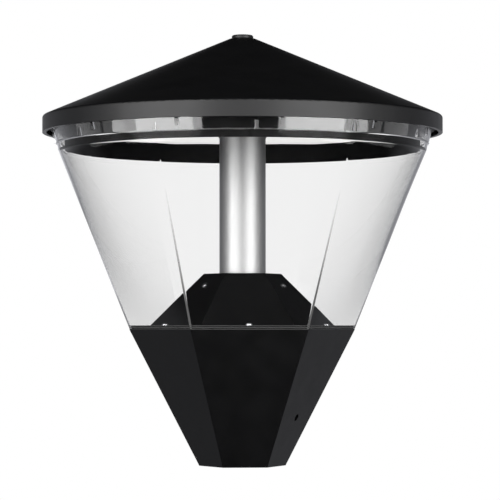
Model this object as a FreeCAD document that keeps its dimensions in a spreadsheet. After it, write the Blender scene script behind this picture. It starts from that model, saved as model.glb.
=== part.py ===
import FreeCAD, Part

# A post top lantern: a tapered hexagonal casting that drops over a round post, a clear bowl that
# changes from a hexagon to a circle, a bright column in its middle and a conical canopy on top.
# Millimetres, +Z up, origin at the centre of the post socket's mouth, front facet towards -Y.
# Angles are counted from +X, seen from above: a facet's middle is at 30 + 60k, its corner at 60k.

import math
import os
from types import SimpleNamespace

import Sketcher
from FreeCAD import Placement, Rotation, Vector

SIZES = [
    # the cast housing
    ("base_height", 169.5, "height of the housing"),
    ("foot_margin", 11.2, "casting left round the socket at the foot"),
    ("base_top_flats", 245, "housing across flats at its rim"),
    ("casting_wall", 4.1, "thickness of the housing"),
    ("corner_round", 2, "radius along the slanted corners"),
    ("shelf_width", 14, "shelf inside the rim, from the wall inwards"),
    ("shelf_depth", 6, "thickness of that shelf"),
    ("gusset_width", 4, "cast gussets under the shelf"),
    ("gusset_depth", 22, "how far a gusset reaches down"),
    ("gusset_inset", 2, "shelf's edge in front of a gusset"),
    # the post socket and its set screws
    ("post_dia", 60, "post that the lantern drops over"),
    ("post_play", 0.5, "gap all round the post"),
    ("socket_depth", 85, "how far the post goes in"),
    ("socket_wall", 5, "wall of the socket"),
    ("stop_thickness", 6, "plate that the post's end meets"),
    ("socket_fit", 0.3, "gap between the socket and the housing's floor"),
    ("ear_offset", 7.5, "centre of the socket's ears outside its wall"),
    ("ear_radius", 6, "end radius of those ears"),
    ("ear_thickness", 5, "thickness of those ears"),
    ("ear_screw_dia", 5, "screws through those ears"),
    ("grub_height", 61, "set screws above the foot"),
    ("grub_dia", 8, "set screw"),
    ("grub_length", 22, "length of a set screw"),
    ("grub_back", 1, "its point behind the socket's wall when slack"),
    ("key_play", 0.3, "gap round a set screw in the housing's key hole"),
    ("boss_dia", 18, "bosses that hold the set screws"),
    ("boss_gap", 3.7, "gap between those bosses and the housing's wall"),
    ("thread_play", 0.05, "gap round a screw in its own thread"),
    ("hole_play", 0.25, "gap round a screw in a plain hole"),
    ("gland_dia", 25, "thread of the cable gland"),
    ("gland_bore", 13, "way through the cable gland"),
    ("gland_flange", 6, "thickness of its hexagon"),
    # tray and gear
    ("tray_thickness", 3, "gear tray"),
    ("tray_gap", 1, "gap round the tray inside the rim's land"),
    ("tray_hole_dia", 40, "hole for the leads in the tray's middle"),
    ("gear_round", 3, "upright corners of the gear boxes"),
    ("driver_length", 120, "driver"),
    ("driver_width", 54, "width of the driver"),
    ("driver_height", 28, "height of the driver"),
    ("driver_inset", 52, "middle of the driver inside the shelf's edge"),
    ("lug_length", 10, "lugs at the driver's ends"),
    ("lug_thickness", 2, "thickness of those lugs"),
    ("lug_width", 21.6, "width of those lugs"),
    ("surge_length", 40, "surge protector"),
    ("surge_width", 26, "width of the surge protector"),
    ("surge_height", 22, "height of the surge protector"),
    ("surge_gap", 4, "gap between it and the column's foot"),
    ("block_pitch", 9, "ways of the terminal block"),
    ("block_width", 20, "width of the terminal block"),
    ("block_height", 18, "height of the terminal block"),
    ("block_gap", 3, "gap between it and the column's foot"),
    # cover
    ("cover_margin", 11.5, "gap between the cover's flange and the housing's wall"),
    ("cover_flange_width", 7.4, "foot flange outside the cover's facets"),
    ("cover_crown", 13.25, "top of the cover outside the column"),
    ("cover_round", 1.2, "radius along the cover's slanted corners"),
    ("cover_rise", 64.4, "height of the cover above its foot flange"),
    ("cover_skin", 2.5, "thickness of the cover"),
    ("cover_screw_inset", 5.5, "cover screws inside the housing's wall"),
    ("cover_screw_dia", 4, "cover screws"),
    ("cover_ear_radius", 4.6, "ears round those screws"),
    ("side_screw_drop", 15.4, "side screws below the cover's top"),
    ("bracket_gap", 0.3, "gap between the cover's inside and its bracket"),
    ("bracket_skin", 3, "thickness of that bracket"),
    # column
    ("column_dia", 58, "column tube"),
    ("column_wall", 2.5, "wall of the column tube"),
    ("column_length", 232.5, "length of the column tube"),
    ("foot_width", 16, "turned foot outside the tube"),
    ("foot_thickness", 6, "thickness of that foot"),
    ("foot_screw_dia", 5, "screws through that foot"),
    ("spigot_length", 25, "foot's spigot inside the tube"),
    ("spigot_play", 0.1, "gap round a spigot in the tube"),
    ("column_play", 0.8, "gap between the column and the cover's hole"),
    ("head_lip", 3, "flange of the column's head on the tube's end"),
    # bowl
    ("gasket_thickness", 1, "gasket under the bowl"),
    ("bowl_rise", 222.5, "bowl from its foot to its round top"),
    ("bowl_top_dia", 460, "outside of that round top"),
    ("bowl_wall", 3.3, "bowl's wall, measured level"),
    ("bead_width", 4.3, "thickened foot of the bowl"),
    ("bead_height", 4.5, "height of that foot"),
    ("collar_rise", 25, "collar above the round top"),
    ("collar_flare", 7, "collar's rim outside the round top"),
    ("collar_step", 1.3, "step at the collar's foot"),
    ("ledge_rise", 9, "ledge above the round top"),
    ("ledge_width", 1.8, "how far the ledge stands out"),
    ("rib_width", 4, "collar ribs and hooks"),
    ("rib_depth", 2.8, "how far a rib stands out past the ledge"),
    ("rib_rise", 9.4, "height of the ribs on the ledge"),
    ("hook_depth", 1.2, "how far a hook stands out past the rim"),
    ("hook_rise", 10.5, "height of the hooks under the rim"),
    # canopy
    ("rim_margin", 13, "canopy outside the collar's rim"),
    ("lip_drop", 3.5, "canopy's lip below the collar's rim"),
    ("rim_rise", 20, "upright band of the canopy"),
    ("roof_rise", 98.8, "cone of the roof above the band"),
    ("nose_dia", 34, "flat top of the roof"),
    ("sheet", 2.5, "canopy's wall"),
    ("hem_width", 5, "lip turned in"),
    ("hem_height", 1.5, "thickness of that hem"),
    ("shoulder_round", 3, "radius between band and cone"),
    ("roof_rib_gap", 12, "ring rib under the roof, middle inside the boards"),
    ("roof_rib_width", 14, "width of that rib"),
    ("roof_rib_depth", 6, "depth of that rib under the roof"),
    ("boss_under_dia", 28, "boss under the roof's top"),
    ("boss_under_depth", 26, "depth of that boss"),
    # light unit under the roof
    ("seal_thickness", 1.5, "seal on the collar's rim"),
    ("seal_width", 9, "width of that seal"),
    ("skirt_gap", 4.7, "gap between the bowl and the black ring's skirt"),
    ("ring_skin", 2.5, "wall of the ring"),
    ("ring_flange", 2, "thickness of the ring's flange"),
    ("ring_overhang", 6, "that flange outside the collar's rim"),
    ("ring_lip", 4, "lip that carries the opal plate"),
    ("ring_screw_dia", 4, "screws through the ring's flange"),
    ("ring_screw_offset", 4.6, "those screws outside the skirt"),
    ("opal_thickness", 3, "opal plate"),
    ("opal_play", 0.5, "gap round the opal plate"),
    ("opal_grip", 6, "edge of the opal plate under the dish's rim"),
    ("carrier_skin", 2.5, "pressed dish that carries the light boards"),
    ("carrier_rise", 11.5, "height of that dish"),
    ("carrier_inset", 4, "dish's rim inside the ring's flange"),
    ("board_thickness", 1.6, "light boards"),
    ("board_margin", 9, "gap between the boards and the dish's wall"),
    ("board_width", 42, "width of the boards"),
    ("chip_size", 5, "light chips on the boards"),
    ("chip_height", 1, "height of those chips"),
    ("spacer_dia", 10, "spacers between roof and dish"),
    ("spacer_screw_dia", 4, "screws of those spacers"),
    # cap screw
    ("clamp_dia", 8, "long screw that holds the canopy down"),
    ("clamp_reach", 10, "its length inside the column's head"),
    ("cap_dia", 27, "head of that screw"),
    ("cap_height", 3.9, "height of its head"),
    ("washer_thickness", 0.8, "washer under it"),
    ("washer_dia", 25, "outside of the washer"),
    ("clip_thickness", 1.2, "ring that keeps the screw in the roof"),
    ("clip_dia", 16, "outside of that ring"),
    ("clip_depth", 0.8, "depth of the ring's groove"),
    ("turning_gap", 0.3, "gap beside and around what turns"),
    ("pass_gap", 2, "gap round the long screw in the light unit"),
    ("slip_gap", 0.1, "gap between the head and its washer"),
]
FACETS = 6
EARS = 3
BLOCK_WAYS = 5
COLLAR_RIBS = 12
FACET_MIDDLE = 30
HOOK_TURN = 7.2
GRUB_TURN = -30
SIDE_SCREW_TURN = 90
BOARD_SPAN = 52
CHIPS_PER_BOARD = 6
FLATS_TO_CORNERS = 2 / math.sqrt(3)

ROOT_POINT = (-1, 1)
X_AXIS = -1
Y_AXIS = -2
START, END, CENTRE = (1, 2, 3)
UP = Vector(0, 0, 1)

doc = FreeCAD.newDocument("PostTopLantern")
pieces = {}


# ---------------------------------------------------------------- sizes and their formulas
class Cell:
    """A size of the sheet, or a sum of sizes, kept with the formula that gives it."""

    def __init__(self, value, formula):
        self.value = value
        self.formula = formula

    def __float__(self):
        return float(self.value)

    def __add__(self, other):
        return Cell(float(self) + float(other), f"({self.formula} + {written(other)})")

    def __radd__(self, other):
        return self + other

    def __sub__(self, other):
        return Cell(float(self) - float(other), f"({self.formula} - {written(other)})")

    def __rsub__(self, other):
        return Cell(float(other) - float(self), f"({written(other)} - {self.formula})")

    def __mul__(self, other):
        return Cell(float(self) * float(other), f"({self.formula} * {written(other)})")

    def __rmul__(self, other):
        return self * other

    def __truediv__(self, other):
        return Cell(float(self) / float(other), f"({self.formula} / {written(other)})")

    def __neg__(self):
        return self * -1


def written(quantity):
    return quantity.formula if isinstance(quantity, Cell) else f"({quantity!r})"


def arctangent(slope):
    return Cell(math.degrees(math.atan(float(slope))), f"atan({slope.formula})")


def slant(slope):
    """How much longer a line is than its level or upright run, at a slope across it."""
    return Cell(math.hypot(1, float(slope)), f"sqrt(1 + ({slope.formula})^2)")


def make_sheet():
    sheet = doc.addObject("Spreadsheet::Sheet", "Sizes")
    for row, (alias, value, meaning) in enumerate(SIZES, start=1):
        sheet.set(f"A{row}", meaning)
        sheet.set(f"B{row}", str(value))
        sheet.setAlias(f"B{row}", alias)
    doc.recompute()
    return {alias: Cell(getattr(sheet, alias), f"Sizes.{alias}") for alias, _, _ in SIZES}


size = SimpleNamespace(**make_sheet())


# ---------------------------------------------------------------- levels and radii that follow
def housing_inside(height):
    """Inside of the housing across flats at a height."""
    return foot_flats + 2 * housing_lean * height - 2 * housing_wall


def cover_inside(rise):
    """Inside of the gear cover across flats, at a rise above its foot flange."""
    return cover_foot_flats - 2 * cover_lean * rise - 2 * cover_wall


def under_roof(radius):
    """Height of the roof's underside at a radius."""
    return shoulder + (rim_radius - radius) * roof_fall - size.sheet * slant(roof_fall)


socket_bore = size.post_dia / 2 + size.post_play
socket_outer = socket_bore + size.socket_wall
socket_top = size.socket_depth + size.stop_thickness
ear_reach = socket_outer + size.ear_offset
grub_tip = socket_bore + size.grub_back
foot_flats = 2 * (socket_outer + size.socket_fit + size.foot_margin)
housing_lean = (size.base_top_flats - foot_flats) / 2 / size.base_height
housing_wall = size.casting_wall * slant(housing_lean)
rim_inside = size.base_top_flats - 2 * housing_wall
shelf_inside = rim_inside - 2 * size.shelf_width
boss_reach = housing_inside(size.grub_height - size.boss_dia / 2) / 2 - size.boss_gap
tray_top = size.base_height + size.tray_thickness
cover_screw_reach = rim_inside / 2 - size.cover_screw_inset
cover_flange_flats = rim_inside - 2 * size.cover_margin
cover_foot_flats = cover_flange_flats - 2 * size.cover_flange_width
cover_top_flats = size.column_dia + 2 * size.cover_crown
cover_lean = (cover_foot_flats - cover_top_flats) / 2 / size.cover_rise
cover_wall = size.cover_skin * slant(cover_lean)
cover_foot = tray_top + size.cover_skin
cover_top = cover_foot + size.cover_rise
side_screw_height = cover_top - size.side_screw_drop
side_screw_reach = cover_inside(size.cover_rise - size.side_screw_drop) / 2 + cover_wall
side_screw_lean = 90 - arctangent(cover_lean)
foot_radius = size.column_dia / 2 + size.foot_width
foot_screw_reach = (size.column_dia / 2 + foot_radius) / 2
column_seat = tray_top + size.foot_thickness
column_inside = size.column_dia - 2 * size.column_wall
column_end = column_seat + size.column_length
spigot_radius = column_inside / 2 - size.spigot_play
bowl_foot = size.base_height + size.gasket_thickness
bowl_top = bowl_foot + size.bowl_rise
collar_rim = bowl_top + size.collar_rise
collar_radius = size.bowl_top_dia / 2 + size.collar_flare
rim_radius = collar_radius + size.rim_margin
lip = collar_rim - size.lip_drop
shoulder = lip + size.rim_rise
roof_top = shoulder + size.roof_rise
roof_fall = size.roof_rise / (rim_radius - size.nose_dia / 2)
ring_radius = size.bowl_top_dia / 2 - size.bowl_wall - size.skirt_gap
flange_radius = collar_radius + size.ring_overhang
flange_foot = collar_rim + size.seal_thickness
flange_top = flange_foot + size.ring_flange
opal_foot = flange_top - size.opal_thickness
opal_radius = ring_radius - size.ring_skin - size.opal_play
ring_screw_reach = ring_radius + size.ring_screw_offset
dish_top = flange_top + size.carrier_rise
dish_radius = opal_radius - size.opal_grip
board_outer = dish_radius - size.board_margin
board_inner = board_outer - size.board_width
roof_rib_reach = board_inner - size.roof_rib_gap
roof_rib_foot = under_roof(roof_rib_reach) - size.roof_rib_depth
head_top = column_end + size.head_lip
clamp_tip = head_top - size.clamp_reach
cap_seat = roof_top + size.washer_thickness + size.slip_gap
cap_top = cap_seat + size.cap_height
clip_top = roof_top - size.boss_under_depth - size.turning_gap


# ---------------------------------------------------------------- bodies and sketches
def bind(thing, name, quantity):
    if isinstance(quantity, Cell):
        thing.setExpression(name, quantity.formula)
    else:
        setattr(thing, name, quantity)


def new_body(label, solids=1, turn=0):
    """An empty body, turned about the lantern's axis, that will hold so many separate solids."""
    body = doc.addObject("PartDesign::Body", "Body")
    body.Label = label
    body.AllowCompound = solids > 1
    body.Placement = Placement(Vector(), Rotation(UP, turn))
    pieces[label] = (body, solids)
    return body


def origin_part(body, role):
    return next(part for part in body.Origin.OriginFeatures if part.Role == role)


def place_sketch(body, plane, turned, offsets):
    sketch = body.newObject("Sketcher::SketchObject", "Sketch")
    sketch.AttachmentSupport = [(origin_part(body, plane), "")]
    sketch.MapMode = "FlatFace"
    sketch.AttachmentOffset = Placement(Vector(*[float(offset) for offset in offsets]), turned)
    for axis, offset in zip("xyz", offsets):
        if isinstance(offset, Cell):
            sketch.setExpression(f"AttachmentOffset.Base.{axis}", offset.formula)
    return sketch


def level_sketch(body, height, turn=0):
    """A sketch parallel to the ground at a height, turned about the axis."""
    return place_sketch(body, "XY_Plane", Rotation(UP, turn), (0, 0, height))


def upright_sketch(body, turn=0, lean=0, reach=0, height=0, out=0):
    """An upright sketch: x runs along turn and y up, from reach and height, leaning outwards.

    It faces 90 degrees to the right of turn, and out moves it that way.
    """
    side, front = (round(math.sin(math.radians(turn)), 12), round(math.cos(math.radians(turn)), 12))
    turned = Rotation(Vector(0, 1, 0), turn).multiply(Rotation(UP, -lean))
    offsets = (reach * front + out * side, height, out * front - reach * side)
    return place_sketch(body, "XZ_Plane", turned, offsets)


def facing_sketch(body, turn, out=0):
    """An upright sketch that faces outwards along turn; y runs up from the ground."""
    return upright_sketch(body, turn=turn + 90, out=out)


def constrain(sketch, kind, *places, distance=None):
    if distance is None:
        return sketch.addConstraint(Sketcher.Constraint(kind, *places))
    index = sketch.addConstraint(Sketcher.Constraint(kind, *places, float(distance)))
    if isinstance(distance, Cell):
        sketch.setExpression(f"Constraints[{index}]", distance.formula)
    return index


def locate(sketch, geometry, point, x, y):
    """Hold a point at x and y from the origin; a plain 0 puts it on the axis itself."""
    for kind, distance, axis in (("DistanceX", x, Y_AXIS), ("DistanceY", y, X_AXIS)):
        if isinstance(distance, Cell) or distance != 0:
            constrain(sketch, kind, *ROOT_POINT, geometry, point, distance=distance)
        else:
            constrain(sketch, "PointOnObject", geometry, point, axis)


def point_at(x, y):
    return Vector(float(x), float(y), 0)


def draw_outline(sketch, points):
    """A closed outline of straight lines through the points."""
    corners = [point_at(x, y) for x, y in points]
    first = sketch.GeometryCount
    for start, end in zip(corners, corners[1:] + corners[:1]):
        sketch.addGeometry(Part.LineSegment(start, end), False)
    for index, (x, y) in enumerate(points):
        following = first + (index + 1) % len(points)
        constrain(sketch, "Coincident", first + index, END, following, START)
        locate(sketch, first + index, START, x, y)


def rectangle(left, right, front, back):
    return [(left, front), (right, front), (right, back), (left, back)]


def draw_circle(sketch, diameter, x=0, y=0):
    circle = sketch.addGeometry(Part.Circle(point_at(x, y), UP, float(diameter) / 2), False)
    locate(sketch, circle, CENTRE, x, y)
    constrain(sketch, "Diameter", circle, distance=diameter)


def draw_hexagon(sketch, across_flats, x=0):
    """Six equal sides with their corners on a construction circle, one of them on the X axis."""
    radius = float(across_flats) * FLATS_TO_CORNERS / 2
    turns = [math.radians(60 * index) for index in range(FACETS)]
    middle = point_at(x, 0)
    corners = [middle + Vector(math.cos(turn), math.sin(turn), 0) * radius for turn in turns]
    circle = sketch.addGeometry(Part.Circle(middle, UP, radius), True)
    locate(sketch, circle, CENTRE, x, 0)
    first = sketch.GeometryCount
    for start, end in zip(corners, corners[1:] + corners[:1]):
        sketch.addGeometry(Part.LineSegment(start, end), False)
    for side in range(FACETS):
        line = first + side
        constrain(sketch, "Coincident", line, END, first + (side + 1) % FACETS, START)
        constrain(sketch, "PointOnObject", line, START, circle)
        if side:
            constrain(sketch, "Equal", first, line)
    constrain(sketch, "PointOnObject", first, START, X_AXIS)
    constrain(sketch, "Diameter", circle, distance=across_flats * FLATS_TO_CORNERS)


def draw_slot(sketch, near, far, radius):
    """A slot along the X axis whose end arcs are centred at near and far."""
    low, high, half = (float(near), float(far), float(radius))
    quarter = math.pi / 2
    near_circle = Part.Circle(Vector(low, 0, 0), UP, half)
    far_circle = Part.Circle(Vector(high, 0, 0), UP, half)
    left = sketch.addGeometry(Part.ArcOfCircle(near_circle, quarter, 3 * quarter), False)
    right = sketch.addGeometry(Part.ArcOfCircle(far_circle, -quarter, quarter), False)
    lower = sketch.addGeometry(Part.LineSegment(Vector(low, -half, 0), Vector(high, -half, 0)), False)
    upper = sketch.addGeometry(Part.LineSegment(Vector(high, half, 0), Vector(low, half, 0)), False)
    constrain(sketch, "Tangent", left, END, lower, START)
    constrain(sketch, "Tangent", lower, END, right, START)
    constrain(sketch, "Tangent", right, END, upper, START)
    constrain(sketch, "Tangent", upper, END, left, START)
    constrain(sketch, "Equal", left, right)
    locate(sketch, left, CENTRE, near, 0)
    locate(sketch, right, CENTRE, far, 0)
    constrain(sketch, "Radius", left, distance=radius)


# ---------------------------------------------------------------- features
def feature(body, kind, profile, **settings):
    made = body.newObject(f"PartDesign::{kind}", kind)
    made.Profile = profile
    for name, quantity in settings.items():
        bind(made, name, quantity)
    return made


def pad(body, profile, length, down=False):
    return feature(body, "Pad", profile, Length=length, Reversed=down)


def pocket(body, profile, length, forward=False):
    """Cut behind the sketch, or forward along the way it faces."""
    return feature(body, "Pocket", profile, Length=length, Reversed=forward)


def revolve(body, profile, axis="V_Axis", kind="Revolution"):
    return feature(body, kind, profile, ReferenceAxis=(profile, [axis]), Angle=360)


def loft(body, lower, upper, kind="AdditiveLoft"):
    return feature(body, kind, lower, Sections=[upper], Ruled=True)


def repeat(body, features, count):
    """Copies evenly round the lantern's axis."""
    pattern = body.newObject("PartDesign::PolarPattern", "Around")
    pattern.Originals = features
    pattern.Axis = (origin_part(body, "Z_Axis"), [""])
    pattern.Angle = 360
    pattern.Occurrences = count
    body.Tip = pattern


def round_edges(body, radius, wanted):
    """A fillet on those edges of the body so far that the test picks."""
    doc.recompute()
    base = body.Tip
    names = [f"Edge{count}" for count, edge in enumerate(base.Shape.Edges, start=1) if wanted(edge)]
    if not names:
        raise RuntimeError(f"no edge to round on {body.Label}")
    fillet = body.newObject("PartDesign::Fillet", "Rounded")
    fillet.Base = (base, names)
    bind(fillet, "Radius", radius)


def level_face(shape, height):
    """The name of the plane face that lies at a height."""
    for count, face in enumerate(shape.Faces, start=1):
        box = face.BoundBox
        if abs(box.ZMin - float(height)) < 0.001 and abs(box.ZMax - float(height)) < 0.001:
            return f"Face{count}"
    raise RuntimeError(f"no level face at {float(height)}")


def taper_sides(body, slope, height, widening=False):
    """Lean the upright facets of the body so far, from its level face at a height."""
    doc.recompute()
    base = body.Tip
    faces = enumerate(base.Shape.Faces, start=1)
    sides = [f"Face{count}" for count, face in faces if abs(face.normalAt(0, 0).z) < 0.001]
    draft = body.newObject("PartDesign::Draft", "Tapered")
    draft.Base = (base, sides)
    draft.NeutralPlane = (base, [level_face(base.Shape, height)])
    draft.Reversed = widening
    bind(draft, "Angle", arctangent(slope))


def hollow_out(body, skin, height):
    """Leave walls of a thickness, open at the body's level face at a height."""
    doc.recompute()
    base = body.Tip
    shell = body.newObject("PartDesign::Thickness", "Hollowed")
    shell.Base = (base, [level_face(base.Shape, height)])
    bind(shell, "Value", skin)
    shell.Join = "Intersection"
    shell.Reversed = True


def rising_edge(height):
    """A test that picks the straight edges that rise by a height."""
    def wanted(edge):
        return len(edge.Vertexes) == 2 and abs(edge.BoundBox.ZLength - float(height)) < 0.01
    return wanted


def circle_at(radius, height):
    """A test that picks the circle of a radius at a height round the axis."""
    def wanted(edge):
        box = edge.BoundBox
        level = box.ZLength < 0.01 and abs(box.ZMin - float(height)) < 0.01
        return level and abs(box.XMax - float(radius)) < 0.01
    return wanted


def turned_piece(label, points):
    """A piece turned about the lantern's axis."""
    body = new_body(label)
    sketch = upright_sketch(body)
    draw_outline(sketch, points)
    revolve(body, sketch)
    return body


def flat_ring(label, outer_dia, inner_dia, bottom, thickness):
    body = new_body(label)
    sketch = level_sketch(body, bottom)
    draw_circle(sketch, outer_dia)
    draw_circle(sketch, inner_dia)
    pad(body, sketch, thickness)
    return body


def drill_round(body, height, diameter, reach, depth, count=FACETS, turn=FACET_MIDDLE):
    """A circle of holes, cut down from a height."""
    sketch = level_sketch(body, height, turn=turn)
    draw_circle(sketch, diameter, x=reach)
    repeat(body, [pocket(body, sketch, depth)], count)


def pan_screws(label, reach, seat, dia, length, count=FACETS, turn=FACET_MIDDLE, lean=0):
    """Pan head screws on a circle: the heads sit on their seats, the shanks run down from them."""
    body = new_body(label, solids=count, turn=turn)
    sketch = upright_sketch(body, lean=lean, reach=reach, height=seat)
    draw_outline(sketch, [
        (0, -length),
        (dia / 2, -length),
        (dia / 2, 0),
        (dia, 0),
        (dia, dia * 0.4),
        (dia * 0.6, dia * 0.7),
        (0, dia * 0.7),
    ])
    repeat(body, [revolve(body, sketch)], count)
    return body


def hex_screws(label, reach, seat, dia, length, count=FACETS, turn=FACET_MIDDLE, upward=False):
    """Hexagon head screws on a circle: the heads sit on their seats, the shanks run down from them."""
    body = new_body(label, solids=count, turn=turn)
    head = level_sketch(body, seat)
    draw_hexagon(head, dia * 1.7, x=reach)
    shank = level_sketch(body, seat)
    draw_circle(shank, dia, x=reach)
    made = [pad(body, head, dia * 0.7, down=upward), pad(body, shank, length, down=not upward)]
    repeat(body, made, count)


# ---------------------------------------------------------------- housing and post socket
def make_base_housing():
    """A tapered hexagonal casting: thin walls, a shelf with gussets for the tray, key holes."""
    body = new_body("base_housing")
    foot = level_sketch(body, 0)
    draw_hexagon(foot, foot_flats)
    pad(body, foot, size.base_height)
    taper_sides(body, housing_lean, 0, widening=True)
    hollow_out(body, size.casting_wall, size.base_height)
    round_edges(body, size.corner_round, rising_edge(size.base_height))

    shelf = level_sketch(body, size.base_height)
    draw_hexagon(shelf, rim_inside + size.casting_wall / 4)
    draw_hexagon(shelf, shelf_inside)
    pad(body, shelf, size.shelf_depth, down=True)
    gusset = upright_sketch(body, turn=FACET_MIDDLE)
    shelf_foot = size.base_height - size.shelf_depth
    into_wall = rim_inside / 2 + size.casting_wall / 4 - size.shelf_depth * housing_lean
    draw_outline(gusset, [
        (shelf_inside / 2 + size.gusset_inset, shelf_foot),
        (into_wall, shelf_foot),
        (into_wall - size.gusset_depth * housing_lean, shelf_foot - size.gusset_depth),
    ])
    repeat(body, [feature(body, "Pad", gusset, Length=size.gusset_width, Midplane=True)], FACETS)
    tapped = size.cover_screw_dia + 2 * size.thread_play
    drill_round(body, size.base_height, tapped, cover_screw_reach, size.shelf_depth)

    mouth = level_sketch(body, 0)
    draw_circle(mouth, 2 * (socket_outer + size.socket_fit))
    pocket(body, mouth, size.casting_wall, forward=True)
    ear_thread = size.ear_screw_dia + 2 * size.thread_play
    depth = size.casting_wall * 0.8
    drill_round(body, size.casting_wall, ear_thread, ear_reach, depth, count=EARS, turn=0)
    key_way = facing_sketch(body, GRUB_TURN)
    draw_circle(key_way, size.grub_dia + 2 * size.key_play, y=size.grub_height)
    repeat(body, [pocket(body, key_way, size.base_top_flats / 2, forward=True)], 2)


def make_post_socket():
    """A sleeve with a stop plate, three ears on the housing's floor and two set screw bosses."""
    body = new_body("post_socket")
    sleeve = level_sketch(body, 0)
    draw_circle(sleeve, 2 * socket_outer)
    pad(body, sleeve, socket_top)
    ear = level_sketch(body, size.casting_wall)
    draw_slot(ear, socket_outer - size.ear_radius, ear_reach, size.ear_radius)
    repeat(body, [pad(body, ear, size.ear_thickness)], EARS)
    boss = facing_sketch(body, GRUB_TURN)
    draw_circle(boss, size.boss_dia, y=size.grub_height)
    repeat(body, [pad(body, boss, boss_reach)], 2)

    bore = level_sketch(body, 0)
    draw_circle(bore, 2 * socket_bore)
    pocket(body, bore, size.socket_depth, forward=True)
    gland_hole = level_sketch(body, size.socket_depth)
    draw_circle(gland_hole, size.gland_dia + 2 * size.thread_play)
    pocket(body, gland_hole, size.stop_thickness, forward=True)
    thread = facing_sketch(body, GRUB_TURN)
    draw_circle(thread, size.grub_dia + 2 * size.thread_play, y=size.grub_height)
    repeat(body, [pocket(body, thread, boss_reach, forward=True)], 2)
    ear_top = size.casting_wall + size.ear_thickness
    ear_hole = size.ear_screw_dia + 2 * size.hole_play
    drill_round(body, ear_top, ear_hole, ear_reach, size.ear_thickness, count=EARS, turn=0)
    length = size.ear_thickness + size.casting_wall * 0.75
    hex_screws("socket_screws", ear_reach, ear_top, size.ear_screw_dia, length, EARS, turn=0)


def make_grub_screw(label, turn):
    """A socket set screw that points at the post; the key goes into its outer end."""
    body = new_body(label, turn=turn)
    blank = upright_sketch(body)
    back = grub_tip + size.grub_length
    radius = size.grub_dia / 2
    chamfer = size.grub_dia / 8
    draw_outline(blank, [
        (grub_tip, size.grub_height),
        (grub_tip, size.grub_height + radius - 2 * chamfer),
        (grub_tip + 2 * chamfer, size.grub_height + radius),
        (back - chamfer, size.grub_height + radius),
        (back, size.grub_height + radius - chamfer),
        (back, size.grub_height),
    ])
    near, far = (point_at(0, size.grub_height), point_at(back, size.grub_height))
    centre_line = blank.addGeometry(Part.LineSegment(near, far), True)
    locate(blank, centre_line, START, 0, size.grub_height)
    locate(blank, centre_line, END, back, size.grub_height)
    revolve(body, blank, axis="Axis0")
    key = upright_sketch(body, turn=90, height=size.grub_height, out=back)
    draw_hexagon(key, size.grub_dia / 2)
    pocket(body, key, size.grub_dia * 0.6)


def make_cable_gland():
    """The supply cable's way in: a threaded body in the stop plate and the nut that grips."""
    body = new_body("cable_gland")
    thread = level_sketch(body, size.socket_depth)
    draw_circle(thread, size.gland_dia)
    pad(body, thread, size.stop_thickness)
    hexagon = level_sketch(body, socket_top)
    draw_hexagon(hexagon, size.gland_dia * 1.2)
    pad(body, hexagon, size.gland_flange)
    neck_dia = size.gland_dia * 0.8
    neck_foot = socket_top + size.gland_flange
    neck = level_sketch(body, neck_foot)
    draw_circle(neck, neck_dia)
    pad(body, neck, size.gland_flange)
    way = level_sketch(body, size.socket_depth)
    draw_circle(way, size.gland_bore)
    pocket(body, way, size.stop_thickness + 2 * size.gland_flange, forward=True)

    outer = size.gland_dia * 0.55
    neck_hole = neck_dia / 2 + size.thread_play
    turned_piece("gland_nut", [
        (neck_hole, neck_foot),
        (outer, neck_foot),
        (outer, neck_foot + 1.4 * size.gland_flange),
        (outer - size.gland_flange / 2, neck_foot + 2.4 * size.gland_flange),
        (size.gland_bore / 2, neck_foot + 2.4 * size.gland_flange),
        (size.gland_bore / 2, neck_foot + size.gland_flange),
        (neck_hole, neck_foot + size.gland_flange),
    ])


# ---------------------------------------------------------------- gear on and under the tray
def make_gear_tray():
    body = new_body("gear_tray")
    plate = level_sketch(body, size.base_height)
    draw_hexagon(plate, rim_inside - 2 * size.tray_gap)
    draw_circle(plate, size.tray_hole_dia)
    pad(body, plate, size.tray_thickness)
    plain = size.cover_screw_dia + 2 * size.hole_play
    drill_round(body, tray_top, plain, cover_screw_reach, size.tray_thickness)
    tapped = size.foot_screw_dia + 2 * size.thread_play
    drill_round(body, tray_top, tapped, foot_screw_reach, size.tray_thickness, count=3)


def gear_box(label, bottom, height, sides):
    """A boxed device with rounded upright corners."""
    body = new_body(label)
    block = level_sketch(body, bottom)
    draw_outline(block, sides)
    pad(body, block, height)
    round_edges(body, size.gear_round, rising_edge(height))
    return body


def make_driver():
    """The driver hangs under the tray by a lug at each end, near the front facet."""
    foot = size.base_height - size.driver_height
    half = size.driver_length / 2
    lug_end = half + size.lug_length
    middle = size.driver_inset - shelf_inside / 2
    front = middle - size.driver_width / 2
    body = gear_box("driver", foot, size.driver_height,
                    rectangle(-half, half, front, front + size.driver_width))
    lug = level_sketch(body, size.base_height)
    lug_front = middle - size.lug_width / 2
    draw_outline(lug, rectangle(-lug_end, lug_end, lug_front, lug_front + size.lug_width))
    pad(body, lug, size.lug_thickness, down=True)


def make_surge_protector():
    right = -foot_radius - size.surge_gap
    half = size.surge_length / 2
    sides = rectangle(right - size.surge_width, right, -half, half)
    gear_box("surge_protector", tray_top, size.surge_height, sides)


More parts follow.
